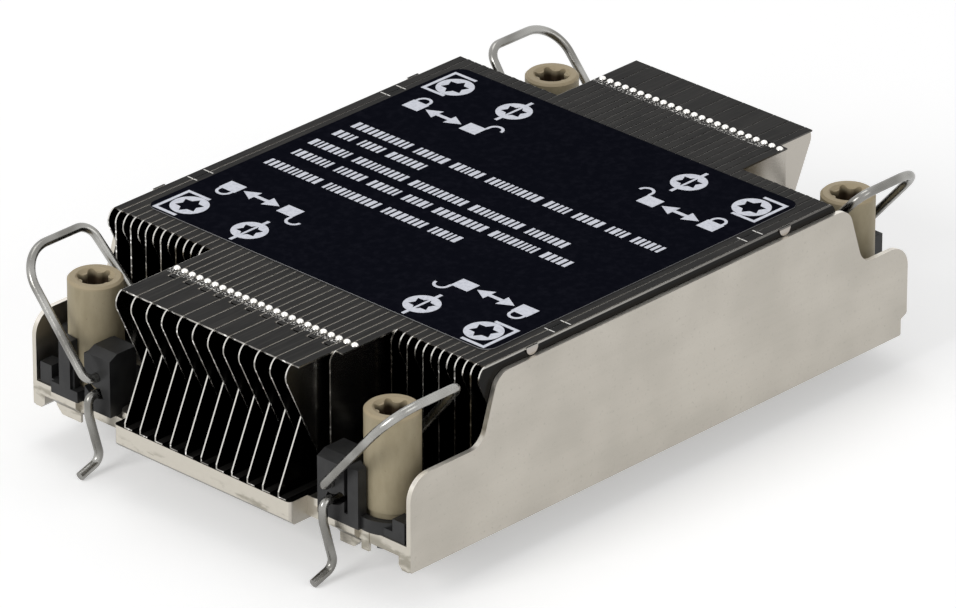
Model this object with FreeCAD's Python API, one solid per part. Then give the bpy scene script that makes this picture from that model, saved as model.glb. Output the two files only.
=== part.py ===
import FreeCAD, Part
import math
import os

from FreeCAD import Vector as V

os.makedirs("parts", exist_ok=True)

# A passive server heatsink for a low case. Millimetres. X runs along the fins, Y across them, Z up.
# The origin is the centre of the contact face that sits on the processor.
# A pair of values is (low, high), or (front, rear) where its comment says so; the front is at -X.

# ---- overall sizes ----
LENGTH = 113.0  # the base plate, end to end
WIDTH = 78.0  # over the two side walls
HEIGHT = 25.5  # contact face to fin tops

# ---- ends, as (front, rear) distances outward past the nuts' axes ----
BASE_PAST = (8.7, 6.3)
FOLD_PAST = (7.2, 4.9)  # top folds of the long fins
ZIP_PAST = (-0.8, -3.1)  # where the second set of long fins reaches the top
SIDE_PAST = (-11.2, -12.7)  # top folds of the short fins at the sides
EAR_PAST = (5.1, 4.3)  # the side walls' low ends
HIGH_PAST = (-13.1, -9.3)  # where the side walls reach their full height
FLANGE_PAST = (5.1, 3.0)
DECK_PAST = (-8.5, -10.0)
BOSS_PAST = (6.0, 4.8)
NUT_TO_WALL = 8.45  # a nut's axis to the outer face of its wall
NUT_X = (LENGTH - sum(BASE_PAST)) / 2
NUT_Y = WIDTH / 2 - NUT_TO_WALL

# ---- frame ----
BASE_T = 3.8
BASE_BEVEL = 0.9
TONGUE_EDGE = 0.8  # the base plate's tongue stands this far past the last long fin
SHOULDER_V = -9.5  # outer edge of the raised shoulders, from the nuts' axes
WALL_T = 0.8
WALL_DROP = 1.5  # fin tops to wall tops
EAR_TOP = 13.6
EAR_R = 3.8
RAMP = 3.3  # length of the wall's slope between ear and top
RAMP_R = 3.2
FOOT_Z = -1.5
FOOT_W = 2.4
FOOT_BEVEL = 0.7
FLANGE_Z = (0.6, 2.6)
BOSS_Z = -1.3
BOSS_L = 10.5
BOSS_V_NEAR = (-5.9, -1.9)  # beside the wire
BOSS_V_FAR = (-1.5, 3.7)  # beside the nut
BOSS_STEP = 1.1  # its front is cut back below, so that the wire's hook passes
BOSS_BEVEL = 1.2
PAD_GROOVE, PAD_W, PAD_LIFT = 0.6, 1.5, 0.5  # the second pad beside the front right boss

# ---- fins ----
FIN_T = 0.25
OUTER_FIN = 24  # fins are numbered from the middle, -24 to 24
LONG_FIN = 11  # fins up to this number run the full length
FIN_TO_WALL = 0.06
FIN_PITCH = (WIDTH / 2 - WALL_T - FIN_TO_WALL - FIN_T / 2) / OUTER_FIN
BEND_R = 0.2  # outside of a fin's bend from web to top fold
NOSE = 1.2  # a fin's front edge stands this far out of its fold
NOSE_DROP = 1.5
HEEL_H = 0.9  # the upright heel of an edge that stands out below
FOOT_TO_EDGE = 0.1  # from such a heel to the base plate's end
SLANT = 7.6  # how far a slanted edge runs back over the fin's height
FOLD_GAP = 0.3  # between a wide end fold and the narrow fold behind it
BUTTON_PAST = (-3.3, -3.5)  # the interlocked buttons on the long fins
BUTTON_R, BUTTON_H = 0.58, 0.4
CLASP_PAST = (-20.8, -22.9)  # the side fins' clasps, which hang over the outermost fin
CLASP_R = 1.2

# ---- nuts ----
NUT_R = 4.2
NUT_DROP = 4.8  # fin tops to nut tops
NUT_RIM = 0.35
SEAT_Z = 4.0  # the nut's shoulder, just above the clip's floor
COLLAR_H = 1.1  # the slimmer turned collar above the shoulder
NECK_R = 3.3
RUN_GAP = 0.05  # running clearance
THREAD_R = 1.65
THREAD_DEPTH = 9.0
SOCKET_R = 2.8  # over the lobes of the drive socket
SOCKET_DEPTH = 5.0
RING_R = 4.6
RING_Z = (-0.15, 0.5)
RING_GAP = 0.15
GROOVE = 0.4

# ---- wires and clips, from the nut's axis: u outward along the fins, v outward to the wall ----
WIRE_R = 0.7
PIVOT_V, PIVOT_Z = -6.35, 8.4  # swing axis of each wire, parallel to X
LEAN = math.radians(41)  # the locked position, away from upright
BAIL_H = 21.4
OUTER_LEG = 8.25
INNER_LEG = (-8.4, -6.1)  # at the pivot and at the crossbar
CRANK = 2.6  # the wire's offset below its axis, between the bearing and the hook
CRANK_U = 3.4
CLIP_FRONT = 6.2
CLIP_BACK = -7.0
CLIP_WALL = 1.2  # bearing plates and the tower's back
CLIP_SKIN = 0.8  # the tower's cheek
CLIP_TO_WALL = 0.6
CLIP_SIDE = (-2.8, 2.6)  # the wire tower, each side of the swing axis
FLOOR_END = 4.9
TOWER_BACK = 0.7
TOWER_Z = 12.6
CAP_T, CAP_BEVEL = 1.6, 0.8
ARM_HALF = 1.9  # the rear bearing's arm, each side of the swing axis
FOOT_RISE = 0.45  # the clip's foot stands this far above its floor
POST_V_NEAR = (-3.05, -0.95)
POST_V_FAR = (-0.65, 1.65)
POST_Z = 12.2
STOP_W, STOP_Z = 2.4, 6.0  # the block at the wall
PIN_W, PIN_Z = 1.0, 10.4
NUT_ROOM = 0.35  # round the nut, inside its guard
GUARD_T = 1.15  # the curved guard round the nut
GUARD_Z_NEAR, GUARD_Z_FAR = 4.7, 7.6

LABEL_PAST = (-14.8, -15.7)
LABEL_EDGE = 3.9  # label to the wall's outer face
LABEL_R, LABEL_T = 2.0, 0.12

CORNERS = {"front_left": (-1, 1), "front_right": (-1, -1), "rear_left": (1, 1), "rear_right": (1, -1)}


# ---- small helpers ----
def ends(past):
    """X of a front and a rear end that stand this far past the nuts' axes."""
    return -NUT_X - past[0], NUT_X + past[1]


def box(x, y, z):
    return Part.makeBox(x[1] - x[0], y[1] - y[0], z[1] - z[0], V(x[0], y[0], z[0]))


def rod(r, z):
    """An upright cylinder on the Z axis."""
    return Part.makeCylinder(r, z[1] - z[0], V(0, 0, z[0]))


def x_rod(r, u, v, z):
    """A cylinder along X between the two values of u."""
    return Part.makeCylinder(r, u[1] - u[0], V(u[0], v, z), V(1, 0, 0))


def arch(u, v, z):
    """An upright plate across X. Its half-round top is centred at the upper value of z."""
    corners = [V(u[0], v[1], z[1]), V(u[0], v[1], z[0]), V(u[0], v[0], z[0]), V(u[0], v[0], z[1])]
    edges = [Part.LineSegment(a, b).toShape() for a, b in zip(corners, corners[1:])]
    crown = V(u[0], sum(v) / 2, z[1] + (v[1] - v[0]) / 2)
    edges.append(Part.Arc(corners[-1], crown, corners[0]).toShape())
    return Part.Face(Part.Wire(edges)).extrude(V(u[1] - u[0], 0, 0))


def rounded(points, radii):
    """A run of straight lines with an arc at each inner corner."""
    edges, last = [], points[0]
    for before, at, after, r in zip(points, points[1:], points[2:], radii):
        a, b = (before - at).normalize(), (after - at).normalize()
        half = a.getAngle(b) / 2
        reach = r / math.tan(half)
        start, end = at + a * reach, at + b * reach
        middle = at + (a + b).normalize() * (r / math.sin(half) - r)
        edges.append(Part.LineSegment(last, start).toShape())
        edges.append(Part.Arc(start, middle, end).toShape())
        last = end
    edges.append(Part.LineSegment(last, points[-1]).toShape())
    return edges


def plate(points, radii, thickness):
    """A flat plate. Its outline starts and ends at the first point, in the middle of a side."""
    edges = rounded(points + [points[0]], radii)
    return Part.Face(Part.Wire(edges)).extrude(thickness)


def rounded_slab(x, half_y, r, z):
    """A flat rectangle with rounded corners, centred across the fins."""
    corners = [V(0, -half_y, z[0]), V(x[1], -half_y, z[0]), V(x[1], half_y, z[0]),
               V(x[0], half_y, z[0]), V(x[0], -half_y, z[0])]
    return plate(corners, [r] * 4, V(0, 0, z[1] - z[0]))


def prism(points, thickness):
    return Part.Face(Part.makePolygon(points + [points[0]])).extrude(thickness)


def fuse(shapes):
    return shapes[0].multiFuse(shapes[1:]).removeSplitter()


def mirrored(shape, sx, sy):
    if sx < 0:
        shape = shape.mirror(V(0, 0, 0), V(1, 0, 0))
    if sy < 0:
        shape = shape.mirror(V(0, 0, 0), V(0, 1, 0))
    return shape


def at_corner(shape, sx, sy):
    """Carries a piece made about the nut's axis, with u along +X and v along +Y, to one corner."""
    return mirrored(shape.translated(V(NUT_X, NUT_Y, 0)), sx, sy)


def is_near(sx, sy):
    """True where the boss and the clip's foot are beside the wire, not beside the nut."""
    return sx == sy


def save(node, shape):
    solid, = shape.Solids
    assert solid.isValid(), node
    solid.exportStep("parts/" + node + ".step")
    size = solid.BoundBox
    sides = (size.XLength, size.YLength, size.ZLength)
    print(node, "volume %.2f, box %.2f x %.2f x %.2f" % (solid.Volume, *sides))


# ---- the cast frame: base, side walls, corner flanges ----
def side_wall():
    """The +Y wall, its ears low beside the nuts and its middle high beside the fins."""
    top = HEIGHT - WALL_DROP
    ear, high, flange = ends(EAR_PAST), ends(HIGH_PAST), ends(FLANGE_PAST)
    step = (FLANGE_Z[0] + 0.6, FLANGE_Z[0] + 1.2)  # the rear ear overhangs the flange above this step
    outline = [
        (0, FOOT_Z),
        (flange[1], FOOT_Z),
        (flange[1], step[0]),
        (ear[1], step[1]),
        (ear[1], EAR_TOP),
        (high[1] + RAMP, EAR_TOP),
        (high[1], top),
        (high[0], top),
        (high[0] - RAMP, EAR_TOP),
        (ear[0], EAR_TOP),
        (ear[0], FOOT_Z),
    ]
    radii = [0.3, 0.2, 0.4, EAR_R, RAMP_R, RAMP_R, RAMP_R, RAMP_R, EAR_R, 0.3]
    y = WIDTH / 2 - WALL_T
    return plate([V(x, y, z) for x, z in outline], radii, V(0, WALL_T, 0))


def foot_rail():
    """The thick foot along the bottom of the +Y wall, bevelled on its inner edge."""
    outer, inner = WIDTH / 2 - WALL_T / 2, WIDTH / 2 - FOOT_W
    section = [(outer, FLANGE_Z[1]), (inner, FLANGE_Z[1]), (inner, FOOT_Z + FOOT_BEVEL),
               (inner + FOOT_BEVEL, FOOT_Z), (outer, FOOT_Z)]
    front, rear = ends(EAR_PAST)[0], ends(FLANGE_PAST)[1]
    return prism([V(front, y, z) for y, z in section], V(rear - front, 0, 0))


def boss(v, end, padded):
    """The block under a clip: its front is stepped back below, its outer lower edge is bevelled."""
    back, top, low = end - BOSS_L, FLANGE_Z[1], BOSS_Z
    side = [(end, top), (end, 1.4), (end - BOSS_STEP, 0.2), (end - BOSS_STEP, low), (back, low), (back, top)]
    block = prism([V(u, v[0], z) for u, z in side], V(0, v[1] - v[0], 0))
    edge = [(v[1], low), (v[1] - BOSS_BEVEL, low), (v[1], low + BOSS_BEVEL)]
    block = block.cut(prism([V(back, y, z) for y, z in edge], V(BOSS_L, 0, 0)))
    if padded:  # a second, lower pad past a groove, flush with the flange
        pad_v = v[1] + PAD_GROOVE
        pad = box((0, FLANGE_PAST[0] + 0.1), (pad_v, pad_v + PAD_W), (low + PAD_LIFT, top))
        block = block.fuse(pad)
    return block


def frame():
    half = WIDTH / 2 - WALL_T / 2
    tongue_half = LONG_FIN * FIN_PITCH + TONGUE_EDGE
    tongue = rounded_slab(ends(BASE_PAST), tongue_half, 0.8, (0, BASE_T))
    for end, inward in zip(ends(BASE_PAST), (1, -1)):  # a bevel under each end
        corner = [(end, 0), (end + inward * BASE_BEVEL, 0), (end, BASE_BEVEL)]
        tongue = tongue.cut(prism([V(x, -tongue_half, z) for x, z in corner], V(0, 2 * tongue_half, 0)))
    deck = box(ends(DECK_PAST), (-half, half), (0, BASE_T))
    flange = box(ends(FLANGE_PAST), (-half, half), FLANGE_Z)
    shoulders = rounded_slab(ends(FLANGE_PAST), NUT_Y + SHOULDER_V, 1.6, (FLANGE_Z[0], BASE_T))
    parts = [tongue, deck, flange, shoulders]
    for sy in (-1, 1):
        parts += [mirrored(side_wall(), 1, sy), mirrored(foot_rail(), 1, sy)]
    for sx, sy in CORNERS.values():
        near, front = is_near(sx, sy), sx < 0
        block = boss(BOSS_V_NEAR if near else BOSS_V_FAR, BOSS_PAST[0 if front else 1], near and front)
        parts.append(at_corner(block, sx, sy))
    body = fuse(parts)
    hole = rod(NECK_R + RUN_GAP, (FOOT_Z, HEIGHT)).fuse(rod(RING_R + RING_GAP, (FOOT_Z, FLANGE_Z[0])))
    for sx, sy in CORNERS.values():
        body = body.cut(at_corner(hole, sx, sy))
    return body.removeSplitter()


# ---- fins ----
def end_edges(at, out, kind, foot):
    """A fin's front or rear edge, from the top at X = at down to the base. out is -1 or 1."""
    top, nose = V(at, 0, HEIGHT), V(at + out * NOSE, 0, HEIGHT - NOSE_DROP)
    if kind == "foot":  # stands out below and leans back to the top
        heel = V(foot, 0, BASE_T + HEEL_H)
        return [Part.LineSegment(top, heel).toShape(), Part.LineSegment(heel, V(foot, 0, BASE_T)).toShape()]
    if kind == "flat":  # curls out of the fold, then drops straight
        under = V(at + out * NOSE, 0, HEIGHT - 1.4 * NOSE_DROP)
        over = V(at + out * 0.8 * NOSE, 0, HEIGHT - 0.5 * NOSE_DROP)
    else:  # curls out of the fold, then leans back to the base
        under = V(at + out * 0.8 * NOSE, 0, HEIGHT - 2 * NOSE_DROP)
        over = nose
    curl = Part.Arc(top, over, under).toShape()
    return [curl, Part.LineSegment(under, V(foot, 0, BASE_T)).toShape()]


def fin(number, x, kind, feet, folds):
    """A folded strip: an upright web with flat folds to its -Y side, each (x range, width, height)."""
    y = number * FIN_PITCH
    front, rear = end_edges(x[0], -1, kind, feet[0]), end_edges(x[1], 1, kind, feet[1])
    across = [
        Part.LineSegment(V(x[0], 0, HEIGHT), V(x[1], 0, HEIGHT)).toShape(),
        Part.LineSegment(V(feet[0], 0, BASE_T), V(feet[1], 0, BASE_T)).toShape(),
    ]
    outline = Part.Wire(Part.sortEdges(front + rear + across)[0])
    web = Part.Face(outline).extrude(V(0, FIN_T, 0)).translated(V(0, y - FIN_T / 2, 0))
    parts = [web]
    for span, width, z in folds:
        parts.append(box(span, (y - FIN_T / 2 - width, y), z))
    body = fuse(parts)
    bend = [e for e in body.Edges if e.BoundBox.ZMin > HEIGHT - 1e-6
            and e.BoundBox.YMin > y + FIN_T / 2 - 1e-6 and e.BoundBox.XLength > 1]
    return body.makeFillet(BEND_R, bend)


def fold_pair(top, low):
    """Top and bottom folds of one fin, which reach the next fin's web."""
    width = FIN_PITCH - FIN_T
    return [(top, width, (HEIGHT - FIN_T, HEIGHT)), (low, width, (BASE_T, BASE_T + FIN_T))]


def button(number, at):
    """The round button pressed up through two interlocked folds."""
    rise = (BUTTON_R**2 + BUTTON_H**2) / (2 * BUTTON_H)  # radius of the button's dome
    y = number * FIN_PITCH - FIN_PITCH / 2
    dome = Part.makeSphere(rise, V(at, y, HEIGHT + BUTTON_H - rise))
    return dome.common(box((at - 1, at + 1), (y - 1, y + 1), (HEIGHT - FIN_T / 2, HEIGHT + 1)))


def with_buttons(body, number):
    return fuse([body] + [button(number, at) for at in ends(BUTTON_PAST)])


def long_fins():
    base, fold, zipped = ends(BASE_PAST), ends(FOLD_PAST), ends(ZIP_PAST)
    for number in range(-LONG_FIN, LONG_FIN + 1):
        if number % 2:  # stands out at the top
            feet = (fold[0] + SLANT, fold[1] - SLANT)
            folds = fold_pair(fold, feet)
            if number > -LONG_FIN:  # over the ends, a fold spans the gap to the next such fin
                wide = 2 * FIN_PITCH - FIN_T
                for span in ((fold[0], zipped[0] - FOLD_GAP), (zipped[1] + FOLD_GAP, fold[1])):
                    folds.append((span, wide, (HEIGHT - FIN_T, HEIGHT)))
            yield "fin_long", number, with_buttons(fin(number, fold, "top", feet, folds), number)
        else:
            feet = (base[0] + FOOT_TO_EDGE, base[1] - FOOT_TO_EDGE)
            body = fin(number, zipped, "foot", feet, fold_pair(zipped, feet))
            yield "fin_zip", number, with_buttons(body, number)


def clasp(side):
    """A rounded tab that hangs over the outermost fin on one side."""
    y = side * (OUTER_FIN * FIN_PITCH + FIN_T / 2)
    tabs = []
    for at in ends(CLASP_PAST):
        middle = HEIGHT - WALL_DROP + CLASP_R + 0.1  # its round end stops just above the wall
        round_end = Part.makeCylinder(CLASP_R, FIN_T, V(at, y, middle), V(0, side, 0))
        tabs.append(round_end.common(box((at - 5, at + 5), (-WIDTH, WIDTH), (0, HEIGHT))))
    return tabs


def side_fins():
    for side in (1, -1):
        for rank in range(LONG_FIN + 1, OUTER_FIN + 1):
            number = side * rank
            kind, x = ("flat" if rank % 2 else "top"), ends(SIDE_PAST)
            if number == -(LONG_FIN + 1):  # the fin that closes the row of long ones
                kind = "flat"
                x = (ends(ZIP_PAST)[0] - 2 * FOLD_GAP, ends(ZIP_PAST)[1] + 2 * FOLD_GAP)
            feet = (x[0] - NOSE, x[1] + NOSE) if kind == "flat" else (x[0] + SLANT, x[1] - SLANT)
            folds = [] if number == -OUTER_FIN else fold_pair(x, feet)
            body = fin(number, x, kind, feet, folds)
            if number == -(LONG_FIN + 1):
                body = with_buttons(body, number)
            if rank == OUTER_FIN:
                body = fuse([body] + clasp(side))
            yield side, rank, body


# ---- nuts ----
def six_lobe(r):
    """Six round lobes joined by six hollows, as a closed wire about the Z axis."""
    deep, edges = 0.71 * r, []
    for k in range(12):
        def point(step, radius):
            turn = math.radians(30 * k + step)
            return V(radius * math.cos(turn), radius * math.sin(turn), 0)
        middle = r if k % 2 == 0 else deep
        side = 0.5 * (r + deep)
        edges.append(Part.Arc(point(-15, side), point(0, middle), point(15, side)).toShape())
    return Part.Wire(edges)


def nut():
    """A tall captive nut on the Z axis: drive socket above, neck and blind thread below."""
    top, low = HEIGHT - NUT_DROP, RING_Z[0] - 0.5
    collar = NUT_R - 0.35
    profile = [
        (0, low), (NECK_R - 0.3, low), (NECK_R, low + 0.3), (NECK_R, RING_Z[0]),
        (NECK_R - GROOVE, RING_Z[0]), (NECK_R - GROOVE, RING_Z[1]), (NECK_R, RING_Z[1]), (NECK_R, SEAT_Z),
        (collar, SEAT_Z), (collar, SEAT_Z + COLLAR_H), (NUT_R, SEAT_Z + COLLAR_H + 0.2),
        (NUT_R, top - NUT_RIM), (NUT_R - NUT_RIM, top), (0, top),
    ]
    wire = Part.makePolygon([V(r, 0, z) for r, z in profile + profile[:1]])
    body = Part.Face(wire).revolve(V(0, 0, 0), V(0, 0, 1), 360)
    socket = Part.Face(six_lobe(SOCKET_R)).extrude(V(0, 0, SOCKET_DEPTH + 1))
    socket.translate(V(0, 0, top - SOCKET_DEPTH))
    mouth = Part.makeCone(SOCKET_R - 0.35, SOCKET_R + 0.15, 0.5, V(0, 0, top - 0.5))
    thread = rod(THREAD_R, (low - 1, low + THREAD_DEPTH))
    return body.cut(socket).cut(mouth).cut(thread)


def nut_ring():
    """The open retaining ring that snaps into the neck's groove."""
    ring = rod(RING_R, RING_Z).cut(rod(NECK_R - GROOVE, RING_Z))
    return ring.cut(box((0, RING_R + 1), (-1.1, 1.1), RING_Z))


# ---- wire bails ----
def bail():
    """One bent wire: stub, inner leg, crossbar, outer leg, journal, crank and hook."""
    def up(u, s):
        return V(u, PIVOT_V + s * math.sin(LEAN), PIVOT_Z + s * math.cos(LEAN))

    def down(u, s):
        return V(u, PIVOT_V, PIVOT_Z - s)

    hook = [(7.9, 5.6), (5.7, 13.6), (10.0, 15.0)]  # knee, heel and tip below the axis
    route = [
        up(CLIP_BACK + CLIP_WALL + 0.1, 0), up(INNER_LEG[0], 0), up(INNER_LEG[1], BAIL_H),
        up(OUTER_LEG, BAIL_H), up(OUTER_LEG, 0), down(CRANK_U, 0), down(CRANK_U, CRANK),
        down(hook[0][0], CRANK), down(*hook[0]), down(*hook[1]), down(*hook[2]),
    ]
    turn = CRANK / 2 - 0.01
    radii = [1.1, 2.6, 5.7, 1.5, turn, turn, 1.1, 3.0, 1.7]
    path = Part.Wire(rounded(route, radii))
    heading = (route[1] - route[0]).normalize()
    section = Part.Wire(Part.makeCircle(WIRE_R, route[0], heading))
    return path.makePipeShell([section], True, False)


# ---- clips ----
def swept_slot(u):
    """The space that the crank sweeps through a plate as the wire swings inward and up."""
    room = WIRE_R + 0.12
    start, stop = -math.pi / 2 - 0.4, -math.pi / 2 + math.radians(48)

    def at(angle, r):
        return V(u[0], PIVOT_V + r * math.cos(angle), PIVOT_Z + r * math.sin(angle))

    middle = (start + stop) / 2
    inner, outer = CRANK - room, CRANK + room
    edges = [
        Part.Arc(at(start, outer), at(middle, outer), at(stop, outer)).toShape(),
        Part.Arc(at(stop, outer), at(stop, CRANK) + V(0, room * math.sin(-stop), room * math.cos(stop)),
                 at(stop, inner)).toShape(),
        Part.Arc(at(stop, inner), at(middle, inner), at(start, inner)).toShape(),
        Part.LineSegment(at(start, inner), at(start, outer)).toShape(),
    ]
    return Part.Face(Part.Wire(edges)).extrude(V(u[1] - u[0], 0, 0))


def clip(near):
    """The moulded clip that sits on a corner flange and carries the wire's two bearings."""
    low = FLANGE_Z[1]
    floor_z = (low, SEAT_Z - RUN_GAP)
    side = (PIVOT_V + CLIP_SIDE[0], PIVOT_V + CLIP_SIDE[1])
    plate_u = (CLIP_FRONT - CLIP_WALL, CLIP_FRONT)
    outer = NUT_TO_WALL - WALL_T - CLIP_TO_WALL
    post_v = POST_V_NEAR if near else POST_V_FAR
    foot_v = (side[0] + 1.0, -1.95) if near else (post_v[0] - 1.5, post_v[1] + 1.8)

    floor = box((CLIP_BACK, FLOOR_END), (side[0], outer), floor_z)
    foot = box((1.5, CLIP_FRONT), foot_v, (low, floor_z[1] + FOOT_RISE))
    # The wire tower: a front plate with the bearing, side cheeks, a back and a bevelled cap.
    cap_z = TOWER_Z - CAP_T
    cheek_v = side[0] + CLIP_SKIN
    front = box(plate_u, (cheek_v, side[1]), (low, cap_z + 0.6))
    cheek = box((TOWER_BACK, CLIP_FRONT), (side[0], cheek_v), (low, cap_z + 0.6))
    back = box((TOWER_BACK, TOWER_BACK + CLIP_WALL), (side[0], side[1] - 0.6), (low, TOWER_Z - 0.5))
    roof = [(TOWER_BACK, cap_z), (CLIP_FRONT, cap_z), (CLIP_FRONT, TOWER_Z - CAP_BEVEL),
            (CLIP_FRONT - 2 * CAP_BEVEL, TOWER_Z), (TOWER_BACK, TOWER_Z)]
    cap = prism([V(u, side[0], z) for u, z in roof], V(0, side[1] - side[0] - 0.6, 0))
    post = box((3.6, CLIP_FRONT), post_v, (low, POST_Z))
    stop = box((2.4, FLOOR_END), (outer - STOP_W, outer), (low, STOP_Z))
    pin = box((-1.4, 0.2), (outer - PIN_W, outer), (low, PIN_Z))
    arm_u = (CLIP_BACK, CLIP_BACK + CLIP_WALL + 0.2)
    arm_v = (PIVOT_V - ARM_HALF, PIVOT_V + ARM_HALF)
    arm = arch(arm_u, arm_v, (low, PIVOT_Z))
    ring = rod(NUT_R + NUT_ROOM + GUARD_T, (low, GUARD_Z_NEAR if near else GUARD_Z_FAR))
    guard = ring.common(box((-4.6, 12.0), (-1.0, outer), (0, HEIGHT)))
    body = fuse([floor, foot, front, cheek, back, cap, post, stop, pin, arm, guard])

    body = body.cut(rod(NUT_R + NUT_ROOM, (floor_z[1], HEIGHT)))
    body = body.cut(rod(NECK_R + RUN_GAP, (0, HEIGHT)))
    body = body.cut(x_rod(WIRE_R + RUN_GAP, (CLIP_BACK - 1, CLIP_BACK + 2), PIVOT_V, PIVOT_Z))
    body = body.cut(x_rod(WIRE_R + RUN_GAP, (CRANK_U - 1.0, CLIP_FRONT + 1), PIVOT_V, PIVOT_Z))
    body = body.cut(swept_slot((plate_u[0] - 0.5, CLIP_FRONT + 0.5)))
    return body.removeSplitter()


# ---- label ----
def label():
    return rounded_slab(ends(LABEL_PAST), WIDTH / 2 - LABEL_EDGE, LABEL_R, (HEIGHT, HEIGHT + LABEL_T))


# ---- write every piece ----
save("base_frame", frame())
for kind, number, shape in long_fins():
    save("%s_%02d" % (kind, number + LONG_FIN), shape)
pairs = {}
for side, rank, shape in side_fins():
    name = "fins_left" if side > 0 else "fins_right"
    pairs.setdefault("%s_%d" % (name, (rank - LONG_FIN - 1) // 2), []).append(shape)
for name, shapes in pairs.items():
    save(name, fuse(shapes) if len(shapes) > 1 else shapes[0])
one_nut, one_ring, one_bail = nut(), nut_ring(), bail()
for name, (sx, sy) in CORNERS.items():
    save("nut_" + name, at_corner(one_nut, sx, sy))
    save("nut_ring_" + name, at_corner(one_ring, sx, sy))
    save("bail_" + name, at_corner(one_bail, sx, sy))
    save("clip_" + name, at_corner(clip(is_near(sx, sy)), sx, sy))
save("label", label())
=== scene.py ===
import math
import random

import bmesh
import bpy
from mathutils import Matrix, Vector


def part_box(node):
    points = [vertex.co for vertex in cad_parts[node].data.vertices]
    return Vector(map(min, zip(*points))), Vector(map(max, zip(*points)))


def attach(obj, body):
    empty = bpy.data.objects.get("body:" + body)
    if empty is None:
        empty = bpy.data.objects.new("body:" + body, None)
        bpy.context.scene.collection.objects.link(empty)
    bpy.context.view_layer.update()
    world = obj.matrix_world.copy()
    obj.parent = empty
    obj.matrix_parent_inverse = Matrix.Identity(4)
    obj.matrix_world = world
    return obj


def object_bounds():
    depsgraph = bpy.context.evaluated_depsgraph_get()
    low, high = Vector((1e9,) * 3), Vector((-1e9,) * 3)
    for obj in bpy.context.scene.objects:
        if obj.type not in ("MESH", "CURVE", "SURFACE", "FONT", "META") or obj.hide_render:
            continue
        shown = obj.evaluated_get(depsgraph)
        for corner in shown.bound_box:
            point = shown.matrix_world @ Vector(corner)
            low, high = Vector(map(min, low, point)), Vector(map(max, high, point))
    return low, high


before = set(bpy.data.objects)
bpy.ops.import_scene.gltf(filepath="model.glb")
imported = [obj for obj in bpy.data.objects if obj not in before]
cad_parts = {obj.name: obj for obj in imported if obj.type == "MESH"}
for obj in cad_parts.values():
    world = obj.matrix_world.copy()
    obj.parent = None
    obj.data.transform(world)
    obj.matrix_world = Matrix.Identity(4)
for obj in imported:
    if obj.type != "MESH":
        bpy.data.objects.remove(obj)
cad_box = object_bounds()

# The looks of a passive server heatsink, in the frame of the CAD model. X runs along the fins, front at -X.
MM = 0.001

# ---- where things are, in metres ----
LABEL_LOW, LABEL_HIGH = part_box("label")
LABEL_TOP = LABEL_HIGH.z
FLOOR_Z = cad_box[0].z

# ---- where the finishes' patterns lie, in millimetres ----
FIN_TOP = LABEL_LOW.z / MM
BASE_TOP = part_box("fin_zip_01")[0].z / MM  # the base plate between the fins' feet
WALL_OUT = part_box("base_frame")[1].y / MM  # outer faces of the side walls
STACK_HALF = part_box("fin_long_22")[1].y / MM  # outer faces of the long fins' stack
CLASP_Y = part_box("fins_left_6")[1].y / MM  # outer faces of the clasps
NUT_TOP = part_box("nut_front_left")[1].z / MM
SIDE_FINS = (19.4, 19.6)  # where the short fins beside the nuts start
OUTER_FOLD = (37.2, 37.5)  # where the outermost folds start
FRONT_TO_REAR = (-45, 45)
BUTTON_X = (-45.7, 45.5)
GLINT_AHEAD = 1.0  # from a row of buttons to the middle of its painted glint flecks
TUCK_X = (-21.1, 20.2)
TUCK_Y = (35.6, 37.75)
TUCK_HALF = 1.7
NIB_PITCH, NIB_TOP = 3.2, 23.0

# ---- colours that several surfaces share ----
# painted glint white, for nicks, nibs and button tops
GLINT_WHITE = (1.0, 0.98, 0.94)
# painted pale glint, for the fold flecks and the tucks' cut ends
PALE_GLINT = (0.9, 0.88, 0.84)
# painted highlight on the bends
BEND_HIGHLIGHT = (0.7, 0.68, 0.64)

# ---- view and light ----
AIM = Vector((3.3, 2.6, 6.9)) * MM
AZIMUTH, ELEVATION, DISTANCE = -46.25, 26.34, 1.3316
LENS, SENSOR = 334.8, 36.0
FLOOR_SIZE = 6
SKY_FILL = 0.42  # what diffuse surfaces get from all round
FLOOR_GLOW = 0.36  # lifts the pale floor to white where nothing shades it


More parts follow.
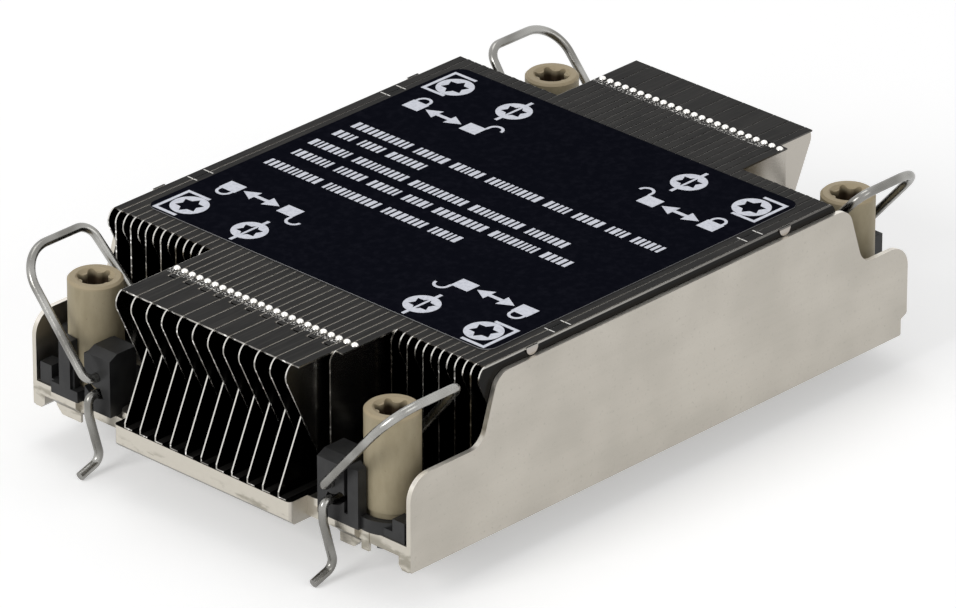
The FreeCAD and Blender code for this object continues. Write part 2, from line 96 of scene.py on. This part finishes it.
# ---- materials ----
class Finish:
    """A material's nodes. Every pattern reads Object coordinates, in millimetres."""

    def __init__(self, name, colour, roughness, metallic=0.0, specular=0.5):
        self.material = bpy.data.materials.new(name)
        self.material.use_nodes = True
        self.tree = self.material.node_tree
        self.surface = self.tree.nodes["Principled BSDF"]
        self.set("Base Color", (*colour, 1))
        self.set("Roughness", roughness)
        self.set("Metallic", metallic)
        self.set("Specular IOR Level", specular)
        coordinates = self.tree.nodes.new("ShaderNodeTexCoord")
        self.place = self.vector("SCALE", coordinates.outputs["Object"], scale=1 / MM)
        self.normal = coordinates.outputs["Normal"]

    def feed(self, socket, value):
        if isinstance(value, bpy.types.NodeSocket):
            self.tree.links.new(value, socket)
        else:
            socket.default_value = value

    def set(self, socket, value):
        self.feed(self.surface.inputs[socket], value)

    def vector(self, operation, a, b=None, scale=None):
        node = self.tree.nodes.new("ShaderNodeVectorMath")
        node.operation = operation
        self.feed(node.inputs[0], a)
        if b is not None:
            self.feed(node.inputs[1], b)
        if scale is not None:
            node.inputs["Scale"].default_value = scale
        return node.outputs[0]

    def calc(self, operation, *values):
        node = self.tree.nodes.new("ShaderNodeMath")
        node.operation = operation
        for socket, value in zip(node.inputs, values):
            self.feed(socket, value)
        return node.outputs[0]

    def both(self, *shares):
        """1 only where every share is 1."""
        total = shares[0]
        for share in shares[1:]:
            total = self.calc("MULTIPLY", total, share)
        return total

    def part_of(self, vector, axis):
        node = self.tree.nodes.new("ShaderNodeSeparateXYZ")
        self.feed(node.inputs[0], vector)
        return node.outputs[axis]

    def rise(self, value, low, high, start=0.0, stop=1.0):
        """Goes smoothly from start to stop as value goes from low to high."""
        node = self.tree.nodes.new("ShaderNodeMapRange")
        node.interpolation_type = "SMOOTHSTEP"
        for socket, number in zip(node.inputs, (value, low, high, start, stop)):
            self.feed(socket, number)
        return node.outputs[0]

    def noise(self, size, stretch=(1, 1, 1), detail=3.0, roughness=0.6):
        """Cloudy values from about 0 to 1, with features of this size in millimetres."""
        node = self.tree.nodes.new("ShaderNodeTexNoise")
        self.feed(node.inputs["Vector"], self.vector("MULTIPLY", self.place, stretch))
        node.inputs["Scale"].default_value = 1 / size
        node.inputs["Detail"].default_value = detail
        node.inputs["Roughness"].default_value = roughness
        return node.outputs["Fac"]

    def blend(self, share, a, b):
        """Colour a where share is 0, colour b where it is 1."""
        node = self.tree.nodes.new("ShaderNodeMix")
        node.data_type = "RGBA"
        self.feed(node.inputs["Factor"], share)
        self.feed(node.inputs[6], a if isinstance(a, bpy.types.NodeSocket) else (*a, 1))
        self.feed(node.inputs[7], b if isinstance(b, bpy.types.NodeSocket) else (*b, 1))
        return node.outputs[2]

    def in_socket(self):
        """1 inside a nut's drive socket, 0 on the nut's outside."""
        x, y, z = (self.part_of(self.place, axis) for axis in "XYZ")
        nut_x, nut_y = nut_axis()
        off_x = self.calc("SUBTRACT", self.calc("ABSOLUTE", x), nut_x)
        off_y = self.calc("SUBTRACT", self.calc("ABSOLUTE", y), nut_y)
        squares = (self.calc("MULTIPLY", off_x, off_x), self.calc("MULTIPLY", off_y, off_y))
        radius = self.calc("SQRT", self.calc("ADD", *squares))
        depth = self.rise(z, NUT_TOP - 0.3, NUT_TOP - 1.6)
        return self.both(self.rise(radius, 3.0, 2.85), depth)

    def bump(self, height, depth_mm):
        """Relief of this depth where height goes from 0 to 1. A second call adds to the first."""
        node = self.tree.nodes.new("ShaderNodeBump")
        node.inputs["Distance"].default_value = depth_mm * MM
        self.feed(node.inputs["Height"], height)
        for link in self.surface.inputs["Normal"].links:
            self.feed(node.inputs["Normal"], link.from_socket)
        self.set("Normal", node.outputs["Normal"])


def nut_axis():
    """How far every nut's axis is from the two middle planes, in millimetres."""
    low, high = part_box("nut_front_left")
    return abs(low.x + high.x) / 2 / MM, abs(low.y + high.y) / 2 / MM


def plated_frame():
    """Satin nickel on a machined frame: warm and faintly clouded, with fine pits and rolled streaks."""
    f = Finish("nickel_frame", (0.47, 0.44, 0.39), 0.36, metallic=1.0)
    clouds = f.noise(14, detail=2)
    grain = f.noise(0.55, detail=2)
    streaks = f.noise(1.1, stretch=(0.06, 1, 1), detail=4)
    colour = f.blend(f.rise(clouds, 0.3, 0.7), (0.455, 0.427, 0.378), (0.515, 0.484, 0.43))
    colour = f.blend(f.rise(grain, 0.58, 0.8), colour, (0.40, 0.375, 0.33))
    y, z = (f.part_of(f.place, axis) for axis in "YZ")
    across = f.calc("ABSOLUTE", f.part_of(f.normal, "Y"))
    up = f.part_of(f.normal, "Z")
    away = f.calc("ABSOLUTE", y)
    # The walls' sheared edges are painted bright: a painted highlight along the rims.
    rim = f.both(f.rise(away, WALL_OUT - 0.95, WALL_OUT - 0.85), f.rise(across, 0.7, 0.4))
    colour = f.blend(rim, colour, (0.8, 0.76, 0.69))
    # The cut ends are painted brighter as a painted highlight, and stained towards the bevel.
    ends = f.rise(f.calc("ABSOLUTE", f.part_of(f.normal, "X")), 0.75, 0.92)
    stains = f.noise(2.4, stretch=(1, 0.35, 1), detail=4)
    stained = f.both(f.rise(stains, 0.5, 0.62), f.rise(z, 2.6, 1.4))
    end = f.blend(stained, (0.6, 0.565, 0.495), (0.36, 0.335, 0.28))
    colour = f.blend(ends, colour, end)
    # Undersides and bevels that look down are painted darker: painted shade.
    colour = f.blend(f.rise(up, -0.2, -0.5), colour, (0.27, 0.255, 0.225))
    # The plate between the fins' feet is painted near black: painted shade and a painted reflection of the
    # dark stack.
    top = f.both(f.rise(up, 0.9, 0.99), f.rise(z, BASE_TOP - 0.2, BASE_TOP - 0.1))
    plate_shade = f.both(top, f.rise(away, STACK_HALF + 1.2, STACK_HALF + 0.9))
    f.set("Base Color", f.blend(plate_shade, colour, (0.02, 0.019, 0.018)))
    f.set("Roughness", f.rise(streaks, 0.25, 0.75, 0.32, 0.44))
    f.bump(grain, 0.02)
    f.bump(streaks, 0.006)
    return f.material


def bright_fins():
    """Bright rolled strip. Edges, bends and buttons carry painted highlights, and the folds on top are
    painted dull and dark as a painted reflection.
    """
    f = Finish("fin_sheet", (0.62, 0.6, 0.57), 0.24, metallic=1.0, specular=0.05)
    x, y, z = (f.part_of(f.place, axis) for axis in "XYZ")
    up = f.part_of(f.normal, "Z")
    across = f.calc("ABSOLUTE", f.part_of(f.normal, "Y"))
    away = f.calc("ABSOLUTE", y)
    rolled = f.noise(0.5, stretch=(0.04, 1, 0.04), detail=2)
    mottle = f.noise(3.5, stretch=(0.4, 1, 1), detail=3)
    nick_glints = f.noise(0.7, detail=1)
    flecks = f.noise(0.3, detail=2)

    # Cut edges: satin, with nicks that are painted bright as glints.
    edge = f.blend(f.rise(mottle, 0.35, 0.65), (0.2, 0.19, 0.175), (0.55, 0.53, 0.49))
    edge = f.blend(f.rise(nick_glints, 0.6, 0.64), edge, GLINT_WHITE)
    # The strip's feed marks: a nib at every pitch up each edge, painted bright as a glint.
    nib_glint = f.rise(f.calc("PINGPONG", z, NIB_PITCH / 2), 0.26, 0.14)
    edge = f.blend(f.both(nib_glint, f.rise(z, NIB_TOP + 0.5, NIB_TOP)), edge, GLINT_WHITE)
    # Webs: painted shade deep in the stack, where they only see each other; a painted highlight where the
    # end of the long stack catches the light, and on the clasps' outer faces.
    web = f.blend(f.rise(x, -10, 30), (0.15, 0.145, 0.135), (0.46, 0.43, 0.385))
    inner = f.calc("MAXIMUM", f.rise(away, STACK_HALF - 0.3, STACK_HALF - 0.4), f.rise(away, *SIDE_FINS))
    web = f.blend(inner, web, (0.012, 0.0115, 0.011))
    web = f.blend(f.rise(away, CLASP_Y - 0.1, CLASP_Y), web, (0.42, 0.385, 0.35))
    lip = FIN_TOP - 0.3  # above this, an upright face is a fold's cut edge
    # The folds' cut edges are painted light at the front and dark at the rear: painted highlight and
    # painted shade.
    fold_edge_light = f.blend(f.rise(x, *FRONT_TO_REAR), (0.42, 0.405, 0.375), (0.1, 0.095, 0.088))
    upright = f.blend(f.rise(z, lip - 0.03, lip + 0.03), web, fold_edge_light)
    colour = f.blend(f.rise(across, 0.9, 0.96), edge, upright)
    # Bends show as thin lines of painted highlight between the folds, fading to painted shade towards the
    # rear except on the outermost folds.
    bend = f.both(f.rise(up, 0.1, 0.3), f.rise(up, 0.998, 0.985))
    bright = f.blend(f.rise(x, *FRONT_TO_REAR), BEND_HIGHLIGHT, (0.22, 0.21, 0.195))
    colour = f.blend(bend, colour, f.blend(f.rise(away, *OUTER_FOLD), bright, BEND_HIGHLIGHT))
    # Folds on top, below their buttons, painted near black as a painted reflection of a dark ceiling.
    fold = f.blend(f.rise(mottle, 0.35, 0.65), (0.009, 0.0085, 0.008), (0.016, 0.015, 0.014))
    fold = f.blend(f.rise(rolled, 0.45, 0.75), fold, (0.026, 0.0245, 0.0225))
    is_low = f.rise(z, FIN_TOP + 0.03, FIN_TOP + 0.01)
    is_fold = f.both(f.rise(up, 0.985, 0.998), is_low)
    colour = f.blend(is_fold, colour, fold)
    # Bright flecks painted on the folds as glints, on the front side of each row of buttons.
    on_stack = f.rise(away, STACK_HALF + 0.2, STACK_HALF)
    for at in BUTTON_X:
        off = f.calc("ABSOLUTE", f.calc("SUBTRACT", x, at - GLINT_AHEAD))
        glint_fleck = f.both(f.rise(off, 0.75, 0.45), f.rise(flecks, 0.55, 0.6), on_stack, is_fold)
        colour = f.blend(glint_fleck, colour, PALE_GLINT)
    # Tucks that lock the outermost folds: painted near black inside as painted shade in the opening, with a
    # painted highlight on the cut at each end.
    near, far = TUCK_Y
    row = f.both(f.rise(away, near, near + 0.15), f.rise(away, far, far - 0.15))
    row = f.both(row, f.rise(z, FIN_TOP - 0.6, FIN_TOP - 0.5))
    for at in TUCK_X:
        off = f.calc("ABSOLUTE", f.calc("SUBTRACT", x, at))
        inside = f.rise(off, TUCK_HALF, TUCK_HALF - 0.1)
        colour = f.blend(f.both(inside, row), colour, (0.003, 0.003, 0.003))
        past_inside = f.rise(off, TUCK_HALF - 0.15, TUCK_HALF - 0.08)
        short_of_end = f.rise(off, TUCK_HALF + 0.12, TUCK_HALF + 0.06)
        colour = f.blend(f.both(past_inside, short_of_end, row), colour, PALE_GLINT)
    # Buttons stand above the folds, with a painted highlight on top and painted shade on their sides.
    button_lit = f.blend(f.rise(up, 0.3, 0.75), (0.3, 0.29, 0.27), GLINT_WHITE)
    f.set("Base Color", f.blend(is_low, button_lit, colour))
    f.set("Metallic", f.rise(is_fold, 0, 1, 1.0, 0.1))
    f.set("Roughness", f.rise(is_fold, 0, 1, 0.22, 0.42))
    f.bump(rolled, 0.002)
    return f.material


def moulded_nut():
    """Tan engineering plastic with a faint flow pattern and a paler rim."""
    f = Finish("nut_plastic", (0.36, 0.31, 0.225), 0.5, specular=0.35)
    flow = f.noise(2.6, stretch=(1, 1, 0.35), detail=4)
    speck = f.noise(0.3, detail=2)
    colour = f.blend(f.rise(flow, 0.3, 0.7), (0.335, 0.283, 0.18), (0.405, 0.347, 0.232))
    colour = f.blend(f.rise(speck, 0.66, 0.8), colour, (0.25, 0.2, 0.13))
    rim = f.rise(f.part_of(f.place, "Z"), NUT_TOP - 0.9, NUT_TOP - 0.2)
    colour = f.blend(f.both(rim, 0.8), colour, (0.43, 0.35, 0.225))
    # The drive socket is painted dull and dark towards its floor: painted shade in the recess.
    f.set("Base Color", f.blend(f.in_socket(), colour, (0.055, 0.036, 0.02)))
    f.set("Roughness", f.rise(flow, 0.3, 0.7, 0.44, 0.58))
    f.bump(flow, 0.03)
    f.bump(speck, 0.006)
    return f.material


def drawn_wire():
    """Plain drawn spring steel, satin, with fine die marks."""
    f = Finish("spring_wire", (0.4, 0.395, 0.38), 0.3, metallic=1.0)
    marks = f.noise(0.5, stretch=(1, 1, 0.3), detail=4)
    haze = f.noise(6, detail=1)
    f.set("Base Color", f.blend(f.rise(haze, 0.3, 0.7), (0.21, 0.205, 0.19), (0.4, 0.395, 0.375)))
    f.set("Roughness", f.rise(marks, 0.3, 0.7, 0.18, 0.32))
    f.bump(marks, 0.012)
    return f.material


def black_moulding():
    """Fine-grained black moulding."""
    f = Finish("clip_plastic", (0.014, 0.014, 0.015), 0.36, specular=0.3)
    grain = f.noise(0.16, detail=2)
    sheen = f.noise(3, detail=2)
    f.set("Base Color", f.blend(f.rise(sheen, 0.3, 0.7), (0.016, 0.016, 0.0165), (0.026, 0.026, 0.026)))
    f.set("Roughness", f.rise(grain, 0.3, 0.7, 0.3, 0.44))
    f.bump(grain, 0.008)
    return f.material


def black_film():
    """Satin blue-black film with a pale cut edge."""
    f = Finish("label_film", (0.006, 0.0065, 0.011), 0.45, specular=0.0)
    dust = f.noise(1.2, detail=4)
    rim = f.rise(f.calc("ABSOLUTE", f.part_of(f.normal, "Z")), 0.7, 0.3)
    film = f.blend(f.rise(dust, 0.4, 0.8), (0.005, 0.0055, 0.0095), (0.009, 0.0095, 0.015))
    f.set("Base Color", f.blend(rim, film, (0.3, 0.3, 0.31)))
    f.set("Roughness", f.rise(dust, 0.3, 0.7, 0.4, 0.52))
    f.bump(f.noise(6, detail=1), 0.02)
    return f.material


def white_ink():
    """Screen-printed white, very slightly uneven."""
    f = Finish("label_ink", (0.75, 0.77, 0.85), 0.5, specular=0.2)
    cover = f.noise(0.5, detail=3)
    f.set("Base Color", f.blend(f.rise(cover, 0.25, 0.6), (0.62, 0.64, 0.72), (0.78, 0.8, 0.88)))
    return f.material


def blackened_ring():
    """Steel, blackened and slightly rough."""
    f = Finish("ring_steel", (0.09, 0.09, 0.09), 0.35, metallic=1.0)
    f.bump(f.noise(0.4, detail=3), 0.01)
    return f.material


def studio_floor():
    """Pale floor that shows white to the camera and in reflections, and keeps the shadow."""
    material = bpy.data.materials.new("studio_floor")
    material.use_nodes = True
    tree = material.node_tree
    tree.nodes.remove(tree.nodes["Principled BSDF"])
    diffuse = tree.nodes.new("ShaderNodeBsdfDiffuse")
    diffuse.inputs["Color"].default_value = (0.88, 0.88, 0.88, 1)
    glow = tree.nodes.new("ShaderNodeEmission")
    both = tree.nodes.new("ShaderNodeAddShader")
    strength = tree.nodes.new("ShaderNodeMath")
    strength.operation = "MULTIPLY"
    tree.links.new(seen(tree), strength.inputs[0])
    strength.inputs[1].default_value = FLOOR_GLOW
    tree.links.new(strength.outputs[0], glow.inputs["Strength"])
    tree.links.new(diffuse.outputs[0], both.inputs[0])
    tree.links.new(glow.outputs[0], both.inputs[1])
    tree.links.new(both.outputs[0], tree.nodes["Material Output"].inputs["Surface"])
    return material


def seen(tree):
    """1 for rays from the camera, a reflection or through glass, 0 for light that falls on things."""
    path = tree.nodes.new("ShaderNodeLightPath")
    total = path.outputs["Is Camera Ray"]
    for name in ("Is Glossy Ray", "Is Transmission Ray"):
        node = tree.nodes.new("ShaderNodeMath")
        node.operation = "MAXIMUM"
        tree.links.new(total, node.inputs[0])
        tree.links.new(path.outputs[name], node.inputs[1])
        total = node.outputs[0]
    return total


# ---- modelling, as by hand ----
ROUND_SIDES = 48


def clear():
    """Leaves edit mode and selects nothing."""
    if bpy.context.mode != "OBJECT":
        bpy.ops.object.mode_set(mode="OBJECT")
    bpy.ops.object.select_all(action="DESELECT")


def pick(condition, kind="verts"):
    """In edit mode, selects the elements whose centre meets the condition, and nothing else."""
    bpy.ops.mesh.select_mode(type={"verts": "VERT", "faces": "FACE"}[kind])
    bpy.ops.mesh.select_all(action="DESELECT")
    mesh = bmesh.from_edit_mesh(bpy.context.object.data)
    for element in getattr(mesh, kind):
        centre = element.co if kind == "verts" else element.calc_center_median()
        if condition(centre):
            element.select_set(True)
    bmesh.update_edit_mesh(bpy.context.object.data)


def pick_faces(numbers):
    """In edit mode, selects the faces with these numbers, and nothing else."""
    bpy.ops.mesh.select_mode(type="FACE")
    bpy.ops.mesh.select_all(action="DESELECT")
    mesh = bmesh.from_edit_mesh(bpy.context.object.data)
    mesh.faces.ensure_lookup_table()
    for number in numbers:
        mesh.faces[number].select_set(True)
    bmesh.update_edit_mesh(bpy.context.object.data)


def flat_bar(x, y):
    """A flat rectangle between two values of x and of y, in millimetres, on the drawing plane."""
    clear()
    bpy.ops.mesh.primitive_plane_add(size=1)
    bpy.ops.object.mode_set(mode="EDIT")
    bpy.ops.transform.resize(value=((x[1] - x[0]) * MM, (y[1] - y[0]) * MM, 1))
    bpy.ops.transform.translate(value=(sum(x) / 2 * MM, sum(y) / 2 * MM, 0))
    clear()
    return bpy.context.object


def flat_ring(centre, outer, width, keep=None):
    """A flat ring, or the part of it whose faces keep accepts."""
    clear()
    bpy.ops.mesh.primitive_circle_add(vertices=ROUND_SIDES, radius=outer * MM, fill_type="NGON")
    bpy.ops.object.mode_set(mode="EDIT")
    bpy.ops.mesh.inset(thickness=width * MM)
    bpy.ops.mesh.delete(type="FACE")
    if keep:
        pick(lambda c: not keep(c / MM), "faces")
        bpy.ops.mesh.delete(type="FACE")
    bpy.ops.mesh.select_all(action="SELECT")
    bpy.ops.transform.translate(value=(centre[0] * MM, centre[1] * MM, 0))
    clear()
    return bpy.context.object


def starred_disc(centre, outer, points, notch):
    """A flat disc with a six-pointed star left open in its middle."""
    clear()
    bpy.ops.mesh.primitive_circle_add(vertices=ROUND_SIDES, radius=outer * MM, fill_type="NOTHING")
    bpy.ops.object.mode_set(mode="EDIT")
    bpy.ops.mesh.primitive_circle_add(vertices=12, radius=points * MM, fill_type="NOTHING")
    step = math.radians(30)

    def is_notch(p):
        turn = round(math.atan2(p.y, p.x) / step)
        return p.length < 1.01 * points * MM and turn % 2 == 1

    pick(is_notch)
    bpy.ops.transform.resize(value=(notch, notch, 1))
    pick(lambda p: p.length < 1.01 * points * MM)
    bpy.ops.mesh.subdivide(number_cuts=3)
    bpy.ops.mesh.select_all(action="SELECT")
    bpy.ops.mesh.bridge_edge_loops()
    bpy.ops.transform.translate(value=(centre[0] * MM, centre[1] * MM, 0))
    clear()
    return bpy.context.object


def arrow_head(tip, length, half, way):
    """A flat triangle that points along y, up or down."""
    clear()
    bpy.ops.mesh.primitive_circle_add(vertices=3, radius=1, fill_type="NGON")
    bpy.ops.object.mode_set(mode="EDIT")
    # The primitive's point is at (0, 1) and its base, 3 ** 0.5 wide, at y = -0.5.
    bpy.ops.transform.translate(value=(0, -1, 0))
    scale = (half * MM / (3**0.5 / 2), way * length * MM / 1.5, 1)
    bpy.ops.transform.resize(value=scale, center_override=(0, 0, 0))
    bpy.ops.transform.translate(value=(tip[0] * MM, tip[1] * MM, 0))
    clear()
    return bpy.context.object


def print_piece(name, shapes, origin, flip, ink):
    """Joins flat shapes into one printed piece on the label. flip gives the signs of its x and y."""
    clear()
    for layer, shape in enumerate(shapes):
        shape.location.z = layer * INK_LAYER * MM  # so that no two faces lie in one plane
        shape.select_set(True)
    bpy.context.view_layer.objects.active = shapes[0]
    bpy.ops.object.join()
    piece = bpy.context.object
    piece.name = name
    piece.scale = (*flip, 1)
    piece.location = (origin[0], origin[1], LABEL_TOP - INK_SUNK * MM)
    bpy.ops.object.transform_apply(location=True, rotation=True, scale=True)
    bpy.ops.object.mode_set(mode="EDIT")
    facing_down = [face.index for face in piece.data.polygons if face.normal.z < 0]
    pick_faces(facing_down)
    bpy.ops.mesh.flip_normals()
    clear()
    piece.select_set(True)
    bpy.context.view_layer.objects.active = piece
    solid = piece.modifiers.new("thickness", "SOLIDIFY")
    solid.thickness = (INK_SUNK + INK_PROUD) * MM
    solid.offset = 1
    bpy.ops.object.modifier_apply(modifier=solid.name)
    piece.data.materials.clear()
    piece.data.materials.append(ink)
    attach(piece, "heatsink")
    return piece


# ---- the print on the label, in millimetres ----
INK_SUNK, INK_PROUD, INK_LAYER = 0.03, 0.02, 0.0015
LINE = 0.6
SHACKLE = 0.48
STAR_NOTCH = 0.62  # a star's notches, as a share of its points
ARROW_HEAD = 2.5
# Each row of blocks: X of the blocks' tops, Y of the first block, Y where the row stops.
ROWS = [(8.4, 32.2, -31.6), (4.5, 32.4, 12.6), (-0.2, 32.8, -20.0), (-4.5, 32.1, -25.2), (-9.7, 32.7, -7.6)]
FRONT_INSET = Vector((4.45, 4.9)) * MM  # label's corner to the star's centre, in metres
REAR_INSET = Vector((5.9, 4.6)) * MM


def corner_marks():
    """Signs for one corner, about its star. x runs out to the label's end and y out to the wall."""
    star = [starred_disc((0, 0), 3.0, 2.25, STAR_NOTCH)]
    bracket = [
        flat_bar((-3.65, 4.05), (3.8 - LINE, 3.8)),
        flat_bar((-3.65, -3.65 + LINE), (-0.9, 3.8 - LINE)),
        flat_bar((4.05 - LINE, 4.05), (-0.9, 3.8 - LINE)),
    ]
    turning = [
        starred_disc((-0.1, -12.5), 2.85, 2.1, STAR_NOTCH),
        flat_bar((-2.2, 2.0), (-12.72, -12.28)),
        flat_bar((-4.2, -2.95), (-12.8, -12.2)),
        flat_bar((2.75, 4.0), (-12.8, -12.2)),
    ]
    locked = [
        flat_bar((-10.25, -7.55), (-1.8, 1.4)),
        flat_ring((-7.1, -0.2), 1.4, SHACKLE, keep=lambda p: p.x > 0),
        flat_bar((-7.55, -7.1), (-1.6, -1.12)),
        flat_bar((-7.55, -7.1), (0.72, 1.2)),
    ]
    unlocked = [
        flat_bar((-10.25, -7.55), (-13.9, -10.6)),
        flat_ring((-6.9, -15.0), 1.45, SHACKLE, keep=lambda p: p.x > 0),
        flat_bar((-7.55, -6.9), (-14.03, -13.55)),
    ]
    middle, inner, outer = -8.95, -9.9, -2.4
    arrow = [
        flat_bar((middle - 0.35, middle + 0.35), (inner + ARROW_HEAD, outer - ARROW_HEAD)),
        arrow_head((middle, outer), ARROW_HEAD, 1.4, 1),
        arrow_head((middle, inner), ARROW_HEAD, 1.4, -1),
    ]
    return star + bracket + turning + locked + unlocked + arrow


def print_corners(ink):
    """The same signs at every corner, turned over so that they face outward."""
    for end, sx in (("front", -1), ("rear", 1)):
        for side, sy in (("left", 1), ("right", -1)):
            inset = FRONT_INSET if sx < 0 else REAR_INSET
            edge_x = LABEL_LOW.x if sx < 0 else LABEL_HIGH.x
            origin = (edge_x - sx * inset.x, sy * (LABEL_HIGH.y - inset.y))
            print_piece("print_" + end + "_" + side, corner_marks(), origin, (sx, sy), ink)


def print_rows(ink):
    """Rows of plain blocks in word-length groups, with no letters. Tops face the rear."""
    cap, stroke, gap, space = 2.1, 0.62, 0.42, 1.5
    draw = random.Random(11)
    for number, (top, start, stop) in enumerate(ROWS):
        shapes, y = [], start
        while y - 4 * stroke > stop:
            for _ in range(draw.randint(4, 11)):
                if y - stroke <= stop:
                    break
                width = draw.uniform(0.6, 1.4) * stroke
                shapes.append(flat_bar((top - cap, top), (y - width, y)))
                y -= width + gap
            y -= space - gap
        print_piece("print_row_%d" % (number + 1), shapes, (0, 0), (1, 1), ink)


# ---- set the finishes ----
FINISHES = {
    "nickel_frame": plated_frame,
    "fin_sheet": bright_fins,
    "nut_plastic": moulded_nut,
    "spring_wire": drawn_wire,
    "clip_plastic": black_moulding,
    "label_film": black_film,
    "ring_steel": blackened_ring,
}


def dress_frame():
    """Gives every CAD node the finish of its material slot."""
    made = {name: make() for name, make in FINISHES.items()}
    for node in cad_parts.values():
        for slot in node.material_slots:
            slot.material = made[slot.material.name.split(".")[0]]


# ---- floor, lights and camera ----
def stage():
    """The floor, and the pale surround that also fills the shadows."""
    clear()
    bpy.ops.mesh.primitive_plane_add(size=FLOOR_SIZE, location=(0, 0, FLOOR_Z))
    floor = bpy.context.object
    floor.name = "floor"
    floor.data.materials.append(studio_floor())

    world = bpy.data.worlds.new("studio")
    bpy.context.scene.world = world
    world.use_nodes = True
    tree = world.node_tree
    background = tree.nodes["Background"]
    background.inputs["Color"].default_value = (1, 1, 1, 1)
    strength = tree.nodes.new("ShaderNodeMapRange")
    tree.links.new(seen(tree), strength.inputs["Value"])
    strength.inputs["To Min"].default_value = SKY_FILL
    strength.inputs["To Max"].default_value = 1.0
    tree.links.new(strength.outputs[0], background.inputs["Strength"])


def soft_lamp(name, place, size, power):
    """A square soft box that faces the object."""
    lamp = bpy.data.lights.new(name, "AREA")
    lamp.size = size
    lamp.energy = power
    holder = bpy.data.objects.new(name, lamp)
    holder.location = place
    holder.rotation_euler = (AIM - Vector(place)).to_track_quat("-Z", "Y").to_euler()
    bpy.context.scene.collection.objects.link(holder)


def lights():
    soft_lamp("key", (-1.5, 0.1, 0.9), 0.7, 11)
    soft_lamp("fill", (0.1, -1.6, 0.8), 0.9, 4)
    soft_lamp("top", (0.3, 0.5, 1.7), 0.8, 4)


def camera():
    """Looks at AIM from the given turn and height."""
    turn, lift = math.radians(AZIMUTH), math.radians(ELEVATION)
    back = Vector((math.sin(turn) * math.cos(lift), -math.cos(turn) * math.cos(lift), math.sin(lift)))
    data = bpy.data.cameras.new("camera")
    data.sensor_width = SENSOR
    data.lens = LENS
    data.clip_start, data.clip_end = 0.05, 20
    view = bpy.data.objects.new("camera", data)
    view.location = AIM + back * DISTANCE
    view.rotation_euler = (-back).to_track_quat("-Z", "Y").to_euler()
    bpy.context.scene.collection.objects.link(view)
    bpy.context.scene.camera = view


dress_frame()
ink = white_ink()
print_corners(ink)
print_rows(ink)
stage()
lights()
camera()
bpy.context.scene.view_settings.view_transform = "Standard"
